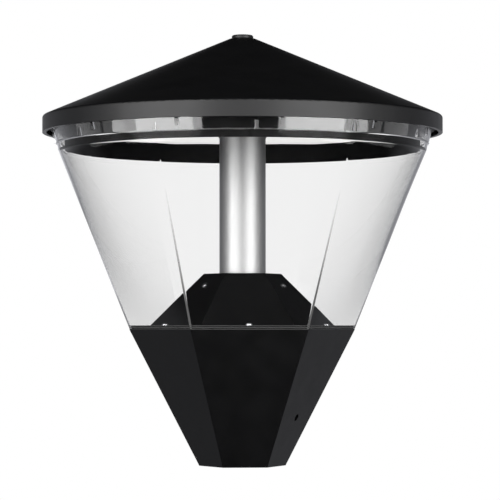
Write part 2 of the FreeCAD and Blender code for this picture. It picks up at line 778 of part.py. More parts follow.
def make_terminal_block():
    """A row of clamps: each way has a wire mouth towards the column and a screw pit on top."""
    body = new_body("terminal_block")
    half = size.block_pitch * BLOCK_WAYS / 2
    front = foot_radius + size.block_gap
    block = level_sketch(body, tray_top)
    draw_outline(block, rectangle(-half, half, front, front + size.block_width))
    pad(body, block, size.block_height)
    pits = level_sketch(body, tray_top + size.block_height)
    mouths = upright_sketch(body, out=-front)
    hole = size.block_pitch * 0.6
    for way in range(BLOCK_WAYS):
        x = size.block_pitch * (way - (BLOCK_WAYS - 1) / 2) if 2 * way != BLOCK_WAYS - 1 else 0
        draw_circle(pits, hole, x=x, y=front + size.block_width / 2)
        draw_circle(mouths, hole, x=x, y=tray_top + size.block_height / 3)
    pocket(body, pits, size.block_height / 3)
    pocket(body, mouths, size.block_width / 3)


# ---------------------------------------------------------------- cover and column
def drill_sides(body, diameter, depth):
    """Three holes square to every second facet of the cover, where the side screws go."""
    sketch = upright_sketch(body, turn=SIDE_SCREW_TURN, lean=side_screw_lean,
                            reach=side_screw_reach, height=side_screw_height)
    draw_outline(sketch, rectangle(0, diameter / 2, -depth, depth))
    repeat(body, [revolve(body, sketch, kind="Groove")], 3)


def make_gear_cover():
    """A hexagonal hood with a foot flange, six screw ears and a round way for the column."""
    body = new_body("gear_cover")
    foot = level_sketch(body, cover_foot)
    draw_hexagon(foot, cover_foot_flats)
    pad(body, foot, size.cover_rise)
    taper_sides(body, cover_lean, cover_foot)
    hollow_out(body, size.cover_skin, cover_foot)
    round_edges(body, size.cover_round, rising_edge(size.cover_rise))
    flange = level_sketch(body, tray_top)
    draw_hexagon(flange, cover_flange_flats)
    draw_hexagon(flange, cover_inside(0))
    pad(body, flange, size.cover_skin)
    ear = level_sketch(body, tray_top, turn=FACET_MIDDLE)
    inner = cover_flange_flats / 2 - 2 * size.cover_ear_radius
    draw_slot(ear, inner, cover_screw_reach, size.cover_ear_radius)
    repeat(body, [pad(body, ear, size.cover_skin)], FACETS)

    neck = level_sketch(body, cover_top)
    draw_circle(neck, size.column_dia + 2 * size.column_play)
    pocket(body, neck, size.cover_skin)
    plain = size.cover_screw_dia + 2 * size.hole_play
    drill_round(body, cover_foot, plain, cover_screw_reach, size.cover_skin)
    drill_sides(body, plain, cover_wall * 1.5)
    length = size.cover_skin + size.tray_thickness + size.shelf_depth
    pan_screws("cover_screws", cover_screw_reach, cover_foot, size.cover_screw_dia, length)


def make_cover_bracket():
    """A collar on the column whose cone backs the cover's facets, for the side screws."""
    inner = size.column_dia / 2 + size.spigot_play
    cone_top = cover_top - size.side_screw_drop / 2
    cone_foot = cover_top - size.side_screw_drop * 1.6

    def backing(height):
        return cover_inside(height - cover_foot) / 2 - size.bracket_gap
    body = turned_piece("cover_bracket", [
        (inner, cone_foot),
        (inner + size.bracket_skin, cone_foot),
        (inner + size.bracket_skin, cone_top - size.bracket_skin),
        (backing(cone_top - size.bracket_skin) - cover_wall, cone_top - size.bracket_skin),
        (backing(cone_foot) - cover_wall, cone_foot),
        (backing(cone_foot), cone_foot),
        (backing(cone_top), cone_top),
        (inner, cone_top),
    ])
    drill_sides(body, size.cover_screw_dia + 2 * size.thread_play, cover_wall * 3)
    pan_screws("side_screws", side_screw_reach, side_screw_height, size.cover_screw_dia,
               cover_wall * 2, count=3, turn=SIDE_SCREW_TURN, lean=side_screw_lean)


def make_column():
    flat_ring("column", size.column_dia, column_inside, column_seat, size.column_length)
    chamfer = size.foot_thickness / 4
    foot = turned_piece("column_foot", [
        (size.tray_hole_dia / 2, tray_top),
        (foot_radius, tray_top),
        (foot_radius, column_seat - chamfer),
        (foot_radius - chamfer, column_seat),
        (spigot_radius, column_seat),
        (spigot_radius, column_seat + size.spigot_length - chamfer),
        (spigot_radius - chamfer, column_seat + size.spigot_length),
        (size.tray_hole_dia / 2, column_seat + size.spigot_length),
    ])
    plain = size.foot_screw_dia + 2 * size.hole_play
    drill_round(foot, column_seat, plain, foot_screw_reach, size.foot_thickness, count=3)
    length = size.foot_thickness + size.tray_thickness
    hex_screws("foot_screws", foot_screw_reach, column_seat, size.foot_screw_dia, length, count=3)

    bush = size.clamp_dia / 2 + size.thread_play
    plug_foot = column_end - 2 * size.head_lip
    turned_piece("column_head", [
        (bush, clamp_tip - size.head_lip),
        (3 * bush, clamp_tip - size.head_lip),
        (3 * bush, plug_foot),
        (spigot_radius, plug_foot),
        (spigot_radius, column_end),
        (size.column_dia / 2, column_end),
        (size.column_dia / 2, head_top - size.head_lip / 3),
        (size.column_dia / 2 - size.head_lip / 3, head_top),
        (bush, head_top),
    ])


# ---------------------------------------------------------------- bowl
def make_bowl_gasket():
    body = new_body("bowl_gasket")
    strip = level_sketch(body, size.base_height)
    margin = size.casting_wall / 5
    draw_hexagon(strip, size.base_top_flats - margin)
    draw_hexagon(strip, rim_inside + margin)
    pad(body, strip, size.gasket_thickness)


def make_bowl():
    """The clear bowl: straight lines from a hexagon to a circle, then a flared, ribbed collar."""
    body = new_body("bowl")
    foot = level_sketch(body, bowl_foot)
    draw_hexagon(foot, size.base_top_flats)
    crown = level_sketch(body, bowl_top)
    draw_circle(crown, size.bowl_top_dia)
    loft(body, foot, crown)
    inside_foot = level_sketch(body, bowl_foot)
    draw_hexagon(inside_foot, size.base_top_flats - 2 * size.bowl_wall)
    inside_crown = level_sketch(body, bowl_top)
    draw_circle(inside_crown, size.bowl_top_dia - 2 * size.bowl_wall)
    loft(body, inside_foot, inside_crown, kind="SubtractiveLoft")
    bead = level_sketch(body, bowl_foot)
    draw_hexagon(bead, size.base_top_flats - size.bowl_wall)
    draw_hexagon(bead, size.base_top_flats - 2 * size.bead_width)
    pad(body, bead, size.bead_height)

    ledge = bowl_top + size.ledge_rise
    root = size.bowl_top_dia / 2
    step = root + size.collar_step
    shelf = step + size.ledge_width
    flare_foot = shelf - size.ledge_width / 3
    collar = upright_sketch(body)
    draw_outline(collar, [
        (root - size.bowl_wall, bowl_top),
        (root, bowl_top),
        (step, ledge - size.ledge_width),
        (shelf, ledge - size.ledge_width * 0.6),
        (shelf, ledge),
        (flare_foot, ledge),
        (collar_radius, collar_rim),
        (collar_radius - size.bowl_wall, collar_rim),
        (step - size.bowl_wall, ledge - size.ledge_width),
    ])
    revolve(body, collar)
    half = size.rib_width / 2
    sink = size.ledge_width / 3
    rib = level_sketch(body, ledge - sink)
    draw_outline(rib, rectangle(flare_foot - sink, shelf + size.rib_depth, -half, half))
    repeat(body, [pad(body, rib, size.rib_rise + sink)], COLLAR_RIBS)
    hook = level_sketch(body, collar_rim - sink, turn=HOOK_TURN)
    hook_root = collar_radius - size.bowl_wall + sink
    draw_outline(hook, rectangle(hook_root, collar_radius + size.hook_depth, -half, half))
    repeat(body, [pad(body, hook, size.hook_rise, down=True)], COLLAR_RIBS)


# ---------------------------------------------------------------- canopy and light unit
def make_canopy():
    """The roof: a cone, an upright band with its lip turned in, a ring rib and a boss."""
    outer = rim_radius
    inner = outer - size.sheet
    rib_in = roof_rib_reach - size.roof_rib_width / 2
    rib_out = roof_rib_reach + size.roof_rib_width / 2
    boss = size.boss_under_dia / 2
    bore = size.clamp_dia / 2 + size.turning_gap
    body = turned_piece("canopy", [
        (bore, roof_top),
        (size.nose_dia / 2, roof_top),
        (outer, shoulder),
        (outer, lip),
        (outer - size.hem_width, lip),
        (outer - size.hem_width, lip + size.hem_height),
        (inner, lip + size.hem_height),
        (inner, under_roof(inner)),
        (rib_out, under_roof(rib_out)),
        (rib_out, roof_rib_foot),
        (rib_in, roof_rib_foot),
        (rib_in, under_roof(rib_in)),
        (boss, under_roof(boss)),
        (boss, roof_top - size.boss_under_depth),
        (bore, roof_top - size.boss_under_depth),
    ])
    round_edges(body, size.shoulder_round, circle_at(outer, shoulder))


def make_light_ring():
    """The black ring: a skirt inside the collar, a lip for the opal plate, a flange on the rim."""
    outer = ring_radius
    inner = outer - size.ring_skin
    flange = flange_radius
    body = turned_piece("light_ring", [
        (outer, bowl_top),
        (outer, flange_foot),
        (flange, flange_foot),
        (flange, flange_top),
        (inner, flange_top),
        (inner, opal_foot),
        (inner - size.ring_lip, opal_foot),
        (inner - size.ring_lip, opal_foot - size.ring_flange),
        (inner, opal_foot - size.ring_flange),
        (inner, bowl_top),
    ])
    tapped = size.ring_screw_dia + 2 * size.thread_play
    drill_round(body, flange_top, tapped, ring_screw_reach, size.ring_flange)


def make_canopy_seal():
    middle = collar_radius - size.bowl_wall / 2
    outer_dia = 2 * middle + size.seal_width
    flat_ring("canopy_seal", outer_dia, outer_dia - 2 * size.seal_width, collar_rim, size.seal_thickness)


def make_opal_plate():
    hole_dia = size.clamp_dia + 2 * size.pass_gap
    flat_ring("opal_plate", 2 * opal_radius, hole_dia, opal_foot, size.opal_thickness)


def make_led_carrier():
    """A pressed dish: its rim holds the opal plate on the ring's lip, its floor has the boards."""
    rim = flange_radius - size.carrier_inset
    hole = size.clamp_dia / 2 + size.pass_gap
    wall = dish_radius + size.carrier_skin
    body = turned_piece("led_carrier", [
        (hole, dish_top - size.carrier_skin),
        (dish_radius, dish_top - size.carrier_skin),
        (dish_radius, flange_top),
        (rim, flange_top),
        (rim, flange_top + size.carrier_skin),
        (wall, flange_top + size.carrier_skin),
        (wall, dish_top),
        (hole, dish_top),
    ])
    ring_hole = size.ring_screw_dia + 2 * size.hole_play
    seat = flange_top + size.carrier_skin
    drill_round(body, seat, ring_hole, ring_screw_reach, size.carrier_skin)
    spacer_hole = size.spacer_screw_dia + 2 * size.hole_play
    drill_round(body, dish_top, spacer_hole, roof_rib_reach, size.carrier_skin)
    length = size.carrier_skin + size.ring_flange
    hex_screws("ring_screws", ring_screw_reach, seat, size.ring_screw_dia, length)


def make_led_boards():
    """Six curved boards under the dish's floor, each with an arc of light chips."""
    top = dish_top - size.carrier_skin
    body = new_body("led_boards", solids=FACETS, turn=0)
    section = upright_sketch(body)
    foot = top - size.board_thickness
    draw_outline(section, rectangle(board_inner, board_outer, foot, top))
    board = revolve(body, section)
    board.Angle = BOARD_SPAN
    board.Midplane = True
    made = [board]
    middle = (board_inner + board_outer) / 2
    half = size.chip_size / 2
    for chip in range(CHIPS_PER_BOARD):
        turn = BOARD_SPAN * ((chip + 0.5) / CHIPS_PER_BOARD - 0.5)
        square = level_sketch(body, foot, turn=turn)
        draw_outline(square, rectangle(middle - half, middle + half, -half, half))
        made.append(pad(body, square, size.chip_height, down=True))
    repeat(body, made, FACETS)


def make_spacers():
    """Posts between the roof's ring rib and the dish, with their screws under the dish."""
    body = new_body("spacers", solids=FACETS, turn=FACET_MIDDLE)
    foot = level_sketch(body, dish_top)
    draw_circle(foot, size.spacer_dia, x=roof_rib_reach)
    post = pad(body, foot, roof_rib_foot - dish_top)
    thread = level_sketch(body, dish_top)
    draw_circle(thread, size.spacer_screw_dia + 2 * size.thread_play, x=roof_rib_reach)
    repeat(body, [post, pocket(body, thread, size.spacer_dia, forward=True)], FACETS)
    length = size.carrier_skin + size.spacer_dia * 0.8
    hex_screws("spacer_screws", roof_rib_reach, dish_top - size.carrier_skin,
               size.spacer_screw_dia, length, upward=True)


# ---------------------------------------------------------------- cap screw
def make_cap_screw():
    """The long clamping screw with a low round head, its washer and the ring that keeps it."""
    shank = size.clamp_dia / 2
    head = size.cap_dia / 2
    groove = shank - size.clip_depth
    chamfer = size.cap_height / 3
    body = turned_piece("cap_screw", [
        (0, clamp_tip),
        (shank - 1, clamp_tip),
        (shank, clamp_tip + 1),
        (shank, clip_top - size.clip_thickness),
        (groove, clip_top - size.clip_thickness),
        (groove, clip_top),
        (shank, clip_top),
        (shank, cap_seat),
        (head, cap_seat),
        (head, cap_top - chamfer),
        (head - chamfer, cap_top),
        (0, cap_top),
    ])
    key = level_sketch(body, cap_top)
    draw_hexagon(key, size.clamp_dia)
    pocket(body, key, size.cap_height * 0.7)

    clip_foot = clip_top - size.clip_thickness
    ring = flat_ring("retaining_ring", size.clip_dia, 2 * groove, clip_foot, size.clip_thickness)
    gap = level_sketch(ring, clip_top)
    draw_outline(gap, rectangle(0, size.clip_dia, -size.clip_depth * 2, size.clip_depth * 2))
    pocket(ring, gap, size.clip_thickness)
    hole = size.clamp_dia + 2 * size.turning_gap
    flat_ring("cap_washer", size.washer_dia, hole, roof_top, size.washer_thickness)


# ---------------------------------------------------------------- building and writing
def check_pieces():
    """Stop unless every object worked and every piece has the solids it should have."""
    for thing in doc.Objects:
        if {"Invalid", "Error"} & set(thing.State):
            raise RuntimeError(f"{thing.Label} ({thing.Name}) failed: {thing.State}")
    for label, (body, solids) in pieces.items():
        shape = body.Shape
        if shape.isNull() or not shape.isValid():
            raise RuntimeError(f"{label} has no valid shape")
        if len(shape.Solids) != solids:
            raise RuntimeError(f"{label} has {len(shape.Solids)} solids, not {solids}")
        if shape.Volume <= 0:
            raise RuntimeError(f"{label} has no volume")


def write_pieces():
    os.makedirs("parts", exist_ok=True)
    for label, (body, _) in pieces.items():
        body.Shape.exportStep(f"parts/{label}.step")
        print(f"{label}: {body.Shape.Volume / 1000:.2f} cm3")


def build():
    make_base_housing()
    make_post_socket()
    make_grub_screw("grub_screw_1", GRUB_TURN)
    make_grub_screw("grub_screw_2", GRUB_TURN + 180)
    make_cable_gland()
    make_gear_tray()
    make_driver()
    make_surge_protector()
    make_terminal_block()
    make_gear_cover()
    make_cover_bracket()
    make_column()
    make_bowl_gasket()
    make_bowl()
    make_canopy()
    make_canopy_seal()
    make_light_ring()
    make_opal_plate()
    make_led_carrier()
    make_led_boards()
    make_spacers()
    make_cap_screw()
    doc.recompute()
    check_pieces()
    write_pieces()


build()
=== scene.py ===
import math

import bmesh
import bpy
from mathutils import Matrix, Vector


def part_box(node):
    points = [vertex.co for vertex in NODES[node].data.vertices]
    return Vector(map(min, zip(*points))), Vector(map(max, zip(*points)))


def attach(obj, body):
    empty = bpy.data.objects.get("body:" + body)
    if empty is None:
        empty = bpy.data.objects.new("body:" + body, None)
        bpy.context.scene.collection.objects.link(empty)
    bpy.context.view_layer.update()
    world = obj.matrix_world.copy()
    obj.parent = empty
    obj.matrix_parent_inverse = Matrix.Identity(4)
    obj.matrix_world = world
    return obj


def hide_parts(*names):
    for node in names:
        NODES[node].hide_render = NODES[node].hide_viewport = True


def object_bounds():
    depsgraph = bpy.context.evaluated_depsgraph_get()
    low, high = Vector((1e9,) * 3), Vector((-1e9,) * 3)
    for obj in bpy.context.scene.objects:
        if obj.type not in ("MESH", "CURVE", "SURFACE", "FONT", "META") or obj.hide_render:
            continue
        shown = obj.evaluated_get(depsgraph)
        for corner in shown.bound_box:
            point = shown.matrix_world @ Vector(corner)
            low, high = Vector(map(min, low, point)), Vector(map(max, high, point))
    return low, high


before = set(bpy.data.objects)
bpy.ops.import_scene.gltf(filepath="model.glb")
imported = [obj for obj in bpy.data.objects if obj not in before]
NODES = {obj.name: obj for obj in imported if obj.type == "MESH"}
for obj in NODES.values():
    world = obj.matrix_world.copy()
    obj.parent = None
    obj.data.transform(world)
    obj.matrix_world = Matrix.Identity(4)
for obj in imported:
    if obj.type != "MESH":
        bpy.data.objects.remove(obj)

MM = 0.001
CAD_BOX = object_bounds()
WHITE = (1, 1, 1, 1)

# ---------------------------------------------------------------- the photograph's view
FRAME_PX = 500
PX = 1.25 * MM                # one pixel of the photograph, at the lantern's axis
VIEW_TURN = math.radians(-4)  # the camera stands a little to the left of the front facet
DISTANCE_PX = 2350
AXIS_PX = 242.5
EYE_LEVEL_PX = 327.5
EYE_HEIGHT = 172 * MM
SENSOR_MM = 36

# ---------------------------------------------------------------- the studio
LAMP_DISTANCE = 2.2
SHINE_BEHIND = 1.01           # a shine lamp stands behind its lamp, so that a mirrored ray meets both
LANTERN_MIDDLE = Vector((0, 0, 0.27))
# name, turn and rise in degrees, width and height, radiance, and what is added in reflections only
SOFTBOXES = [
    ("soft_left", -49, 10, 1.85, 2.9, 1.5, 4.0),
    ("soft_right", 38, 10, 1.85, 2.9, 1.5, 4.0),
    ("side_right", 78, 10, 0.7, 2.6, 0, 0.9),
    ("side_left", -86, 10, 0.7, 2.6, 0, 0.8),
    ("front", -6, 20, 1.8, 2.0, 0, 2.5),
]
AMBIENT = 0.25
STUDIO_TINT = (0.93, 0.94, 1.0, 1)
BACKDROP, STUDIO_DARK = 0.8, 0.01  # in reflections, straight behind the lantern and elsewhere
LOW_GLOW = 0.65               # in reflections, low behind the lantern
WALL_GLOW = 0.34              # and at its sides, at its own height
FLOOR_RADIUS = 12
FLOOR_GAP = 0.2 * MM
FLOOR_TONE, FLOOR_IN_GLOSS = 0.8, 0.03


def add_object(name, data):
    thing = bpy.data.objects.new(name, data)
    bpy.context.scene.collection.objects.link(thing)
    return thing


def make_camera():
    data = bpy.data.cameras.new("camera")
    data.sensor_width = SENSOR_MM
    data.lens = SENSOR_MM * DISTANCE_PX / FRAME_PX
    camera = add_object("camera", data)
    bpy.context.scene.camera = camera
    back = Vector((math.sin(VIEW_TURN), -math.cos(VIEW_TURN), 0))
    up = Vector((0, 0, 1))
    right = up.cross(back)
    camera.location = back * DISTANCE_PX * PX + up * EYE_HEIGHT
    middle = FRAME_PX / 2
    aim = right * (middle - AXIS_PX) + up * (EYE_LEVEL_PX - middle) - back * DISTANCE_PX
    camera.rotation_euler = aim.to_track_quat("-Z", "Y").to_euler()


def softbox(name, turn, rise, width, height, radiance, shine):
    """A soft light that faces the lantern's middle: a lamp, and a shine lamp for reflections only."""
    a, e = math.radians(turn), math.radians(rise)
    way = Vector((math.sin(a) * math.cos(e), -math.cos(a) * math.cos(e), math.sin(e)))
    for part, level, reach in (("lamp", radiance, 1), ("shine", shine, SHINE_BEHIND)):
        if level == 0:
            continue
        data = bpy.data.lights.new(name + "_" + part, "AREA")
        data.shape = "RECTANGLE"
        data.size = width
        data.size_y = height
        data.energy = level * math.pi * width * height
        light = add_object(name + "_" + part, data)
        light.location = way * LAMP_DISTANCE * reach + LANTERN_MIDDLE
        light.rotation_euler = way.to_track_quat("Z", "Y").to_euler()
        light.visible_camera = False
        light.visible_transmission = False
        light.visible_diffuse = part == "lamp"


# ---------------------------------------------------------------- node helpers
def fresh_tree(block):
    block.use_nodes = True
    block.node_tree.nodes.clear()
    return block.node_tree


def join(tree, operation, *values):
    """A chain of Math nodes over sockets or numbers."""
    out = values[0]
    for value in values[1:]:
        node = tree.nodes.new("ShaderNodeMath")
        node.operation = operation
        for place, item in zip(node.inputs, (out, value)):
            if isinstance(item, (int, float)):
                place.default_value = item
            else:
                tree.links.new(item, place)
        out = node.outputs[0]
    return out


def ramp(tree, value, start, end, low, high, kind="LINEAR"):
    """From low at the start value to high at the end value, and level beyond them."""
    node = tree.nodes.new("ShaderNodeMapRange")
    node.interpolation_type = kind
    node.inputs["From Min"].default_value = start
    node.inputs["From Max"].default_value = end
    node.inputs["To Min"].default_value = low
    node.inputs["To Max"].default_value = high
    tree.links.new(value, node.inputs["Value"])
    return node.outputs[0]


def mix(tree, factor, one, two):
    node = tree.nodes.new("ShaderNodeMixShader")
    for place, item in zip(node.inputs, (factor, one, two)):
        tree.links.new(item, place)
    return node.outputs[0]


def plain_shader(tree, kind, colour, strength=None):
    node = tree.nodes.new(kind)
    node.inputs["Color"].default_value = colour
    if strength is not None:
        node.inputs["Strength"].default_value = strength
    return node


def rays(tree, *names):
    """1 for any of these kinds of ray."""
    path = tree.nodes.new("ShaderNodeLightPath")
    return join(tree, "MAXIMUM", *(path.outputs[name] for name in names))


def straight_sight(tree):
    """1 for the camera's rays and for those that only passed through clear walls."""
    path = tree.nodes.new("ShaderNodeLightPath")
    unmirrored = join(tree, "LESS_THAN", path.outputs["Glossy Depth"], 0.5)
    unscattered = join(tree, "LESS_THAN", path.outputs["Diffuse Depth"], 0.5)
    seen = rays(tree, "Is Camera Ray", "Is Transmission Ray")
    return join(tree, "MULTIPLY", seen, unmirrored, unscattered)


# ---------------------------------------------------------------- world and floor
def make_world():
    """White for the camera and through the bowl; in gloss, a white backdrop behind and a dark studio."""
    world = bpy.data.worlds.new("studio")
    bpy.context.scene.world = world
    tree = fresh_tree(world)
    way = tree.nodes.new("ShaderNodeTexCoord")
    split = tree.nodes.new("ShaderNodeSeparateXYZ")
    tree.links.new(way.outputs["Generated"], split.inputs[0])
    right, away, height = split.outputs

    def smooth(*values):
        return ramp(tree, *values, "SMOOTHSTEP")

    behind = smooth(away, 0.93, 0.99, STUDIO_DARK, BACKDROP)
    low = join(
        tree,
        "MULTIPLY",
        smooth(away, 0.25, 0.6, 0, LOW_GLOW),
        smooth(height, -0.15, -0.55, 0, 1),
        smooth(right, -0.4, 0.4, 0.5, 1),
    )
    walls = join(
        tree,
        "MULTIPLY",
        smooth(away, -0.35, 0.1, 0, WALL_GLOW),
        smooth(height, -0.45, -0.1, 0, 1),
        smooth(height, 0.15, 0.4, 1, 0),
    )
    gloss = plain_shader(tree, "ShaderNodeBackground", STUDIO_TINT)
    tree.links.new(join(tree, "MAXIMUM", behind, low, walls), gloss.inputs["Strength"])
    ambient = plain_shader(tree, "ShaderNodeBackground", WHITE, AMBIENT)
    white = plain_shader(tree, "ShaderNodeBackground", WHITE, 1)
    shine = rays(tree, "Is Glossy Ray", "Is Transmission Ray")
    unseen = mix(tree, shine, ambient.outputs[0], gloss.outputs[0])
    out = tree.nodes.new("ShaderNodeOutputWorld")
    tree.links.new(mix(tree, straight_sight(tree), unseen, white.outputs[0]), out.inputs[0])


def make_floor():
    mesh = bpy.data.meshes.new("floor")
    shape = bmesh.new()
    bmesh.ops.create_circle(shape, cap_ends=True, segments=96, radius=FLOOR_RADIUS)
    shape.to_mesh(mesh)
    shape.free()
    floor = add_object("floor", mesh)
    floor.location.z = CAD_BOX[0].z - FLOOR_GAP
    floor.visible_glossy = False
    floor.visible_shadow = False
    material = bpy.data.materials.new("pale_floor")
    tree = fresh_tree(material)
    plain = tree.nodes.new("ShaderNodeBsdfDiffuse")
    path = tree.nodes.new("ShaderNodeLightPath")
    tone = ramp(tree, path.outputs["Glossy Depth"], 0, 1, FLOOR_TONE, FLOOR_IN_GLOSS)
    tree.links.new(tone, plain.inputs["Color"])
    glow = plain_shader(tree, "ShaderNodeEmission", WHITE)
    out = tree.nodes.new("ShaderNodeOutputMaterial")
    surface = mix(tree, straight_sight(tree), plain.outputs[0], glow.outputs[0])
    tree.links.new(surface, out.inputs[0])
    mesh.materials.append(material)


# ---------------------------------------------------------------- materials
def srgb(*levels):
    """A linear colour from 0-255 display levels."""
    out = []
    for level in levels:
        c = level / 255
        out.append(c / 12.92 if c <= 0.04045 else ((c + 0.055) / 1.055) ** 2.4)
    return (*out, 1)


class Surface:
    """A node material around one Principled shader, in metres of the row frame."""

    def __init__(self, name, colour, roughness, metallic=0.0, specular=0.5):
        self.material = bpy.data.materials.new(name)
        self.material.use_nodes = True
        self.tree = self.material.node_tree
        self.shader = self.tree.nodes["Principled BSDF"]
        self.place = self.tree.nodes.new("ShaderNodeTexCoord").outputs["Object"]
        self.set("Base Color", colour)
        self.set("Roughness", roughness)
        self.set("Metallic", metallic)
        self.set("Specular IOR Level", specular)

    def set(self, name, value):
        self.shader.inputs[name].default_value = value

    def vary(self, name, value):
        self.tree.links.new(value, self.shader.inputs[name])

    def noise(self, size, detail=2.0, stretch=(1, 1, 1)):
        """A noise from 0 to 1 whose grains are about this size, in metres."""
        mapping = self.tree.nodes.new("ShaderNodeMapping")
        mapping.inputs["Scale"].default_value = [s / size for s in stretch]
        self.tree.links.new(self.place, mapping.inputs["Vector"])
        noise = self.tree.nodes.new("ShaderNodeTexNoise")
        noise.inputs["Scale"].default_value = 1.0
        noise.inputs["Detail"].default_value = detail
        noise.inputs["Roughness"].default_value = 0.5
        self.tree.links.new(mapping.outputs[0], noise.inputs["Vector"])
        return noise.outputs[0]

    def span(self, noise, low, high):
        """From low to high over the middle of a noise."""
        return ramp(self.tree, noise, 0.3, 0.7, low, high)

    def blend(self, noise, one, two):
        """Between two colours over the middle of a noise."""
        node = self.tree.nodes.new("ShaderNodeMix")
        node.data_type = "RGBA"
        self.tree.links.new(self.span(noise, 0, 1), node.inputs[0])
        node.inputs[6].default_value = one
        node.inputs[7].default_value = two
        return node.outputs[2]

    def bump(self, height, depth, strength):
        node = self.tree.nodes.new("ShaderNodeBump")
        node.inputs["Strength"].default_value = strength
        node.inputs["Distance"].default_value = depth
        self.tree.links.new(height, node.inputs["Height"])
        self.vary("Normal", node.outputs[0])


def black_paint():
    """Fine textured powder coat, nearly black, with a slight blue cast."""
    s = Surface("black_powder_coat", srgb(11, 11, 12), 0.35, specular=0.3)
    s.vary("Base Color", s.blend(s.noise(40 * MM), srgb(9, 9, 10), srgb(12, 12, 14)))
    s.vary("Roughness", s.span(s.noise(25 * MM), 0.34, 0.40))
    s.bump(s.noise(0.9 * MM, detail=3), 0.02 * MM, 0.6)
    return s.material


def matte_black():
    """The ring that faces the light boards: the same black with hardly any shine."""
    s = Surface("matte_black", srgb(14, 14, 15), 0.7, specular=0.12)
    s.vary("Roughness", s.span(s.noise(20 * MM), 0.62, 0.74))
    s.bump(s.noise(0.9 * MM, detail=3), 0.02 * MM, 0.6)
    return s.material


def satin_aluminium():
    """Anodised tube with fine lines drawn along it."""
    s = Surface("satin_anodised_aluminium", (0.35, 0.35, 0.35, 1), 0.45, metallic=1.0)
    s.vary("Roughness", s.span(s.noise(1.2 * MM, stretch=(1, 1, 0.02)), 0.42, 0.49))
    s.bump(s.noise(0.5 * MM, stretch=(1, 1, 0.01)), 0.004 * MM, 0.5)
    return s.material


def cast_aluminium():
    s = Surface("cast_aluminium", (0.62, 0.63, 0.64, 1), 0.45, metallic=1.0)
    s.vary("Roughness", s.span(s.noise(3 * MM, detail=4), 0.38, 0.55))
    s.bump(s.noise(0.8 * MM, detail=4), 0.05 * MM, 0.7)
    return s.material


def plated_steel():
    s = Surface("zinc_plated_steel", (0.70, 0.70, 0.69, 1), 0.28, metallic=1.0)
    clouds = s.noise(6 * MM, detail=3)
    s.vary("Base Color", s.blend(clouds, (0.62, 0.62, 0.62, 1), (0.74, 0.74, 0.72, 1)))
    s.vary("Roughness", s.span(s.noise(4 * MM), 0.2, 0.36))
    return s.material


def dark_steel(name, tone):
    """Screws that are duller than the plated ones, in the cover's facets and foot."""
    s = Surface(name, (tone, tone, tone * 1.03, 1), 0.35, metallic=1.0)
    s.vary("Roughness", s.span(s.noise(3 * MM), 0.3, 0.42))
    return s.material


def plastic(name, colour, roughness):
    s = Surface(name, colour, roughness)
    s.vary("Roughness", s.span(s.noise(8 * MM), roughness - 0.05, roughness + 0.08))
    s.bump(s.noise(0.6 * MM, detail=3), 0.01 * MM, 0.5)
    return s.material


OPAL_PAINTED_GLOW = 0.68              # painted glow: how white the opal plate shows to the camera and through the bowl, lighting nothing


def opal_plastic():
    s = Surface("opal_plastic", srgb(246, 246, 245), 0.35)
    s.set("Subsurface Weight", 0.3)
    s.set("Subsurface Radius", (2 * MM, 2 * MM, 2 * MM))
    s.set("Subsurface Scale", 1.0)
    s.vary("Roughness", s.span(s.noise(20 * MM), 0.3, 0.4))
    # Painted glow: the plate shines only for straight sight and lights nothing around it.
    s.set("Emission Color", srgb(255, 255, 252))
    s.vary("Emission Strength", join(s.tree, "MULTIPLY", straight_sight(s.tree), OPAL_PAINTED_GLOW))
    return s.material


# Heights above the lantern's foot where the clear bowl's finish changes: its wall ends, then comes
# the step under the ledge, then the collar, which bends light most and is a little hazy.
WALL_END, STEP_START = 391 * MM, 393.5 * MM
WALL_IOR, STEP_IOR, COLLAR_GAIN = 1.38, 1.12, 0.48
LEDGE_FOOT, LEDGE_TOP, COLLAR_START = 400.5 * MM, 401.5 * MM, 402 * MM
COLLAR_ROUGHNESS = 0.05
CLEAR_TINT = (0.985, 0.985, 0.985, 1)
THROUGH_TINT = (0.95, 0.95, 0.95, 1)


def clear_plastic(name="clear_bowl", edge=None):
    """Clear moulded bowl. Lamps shine through it, so what is inside is lit.

    edge is (colour, start, end): a grey line drawn on the outer side, opaque at the start height and
    gone at the end height; on the corners it is painted shade.
    """
    s = Surface(name, CLEAR_TINT, 0.0)
    s.set("Transmission Weight", 1.0)
    tree = s.tree
    split = tree.nodes.new("ShaderNodeSeparateXYZ")
    tree.links.new(s.place, split.inputs[0])
    height = split.outputs["Z"]
    wall = ramp(tree, height, WALL_END, STEP_START, WALL_IOR, STEP_IOR)
    collar = ramp(tree, height, LEDGE_FOOT, LEDGE_TOP, 0, COLLAR_GAIN)
    s.vary("IOR", join(tree, "ADD", wall, collar))
    s.vary("Roughness", ramp(tree, height, LEDGE_FOOT, COLLAR_START, 0, COLLAR_ROUGHNESS))
    s.bump(s.noise(60 * MM, detail=1), 0.15 * MM, 0.25)
    shader = s.shader.outputs[0]
    # A grey drawn on the outer side: painted shade on the corners, plain grey bands on the foot.
    if edge:
        colour, start, end = edge
        side = tree.nodes.new("ShaderNodeNewGeometry")
        outer = join(tree, "SUBTRACT", 1.0, side.outputs["Backfacing"])
        drawn = join(tree, "MULTIPLY", outer, ramp(tree, height, start, end, 1, 0))
        line = plain_shader(tree, "ShaderNodeBsdfDiffuse", colour)
        shader = mix(tree, drawn, shader, line.outputs[0])
    path = tree.nodes.new("ShaderNodeLightPath")
    mirrored = join(
        tree, "GREATER_THAN", path.outputs["Is Glossy Ray"], path.outputs["Is Transmission Ray"]
    )
    past = join(tree, "MAXIMUM", mirrored, rays(tree, "Is Shadow Ray", "Is Diffuse Ray"))
    through = plain_shader(tree, "ShaderNodeBsdfTransparent", THROUGH_TINT)
    out = next(node for node in tree.nodes if node.type == "OUTPUT_MATERIAL")
    tree.links.new(mix(tree, past, shader, through.outputs[0]), out.inputs["Surface"])
    return s.material


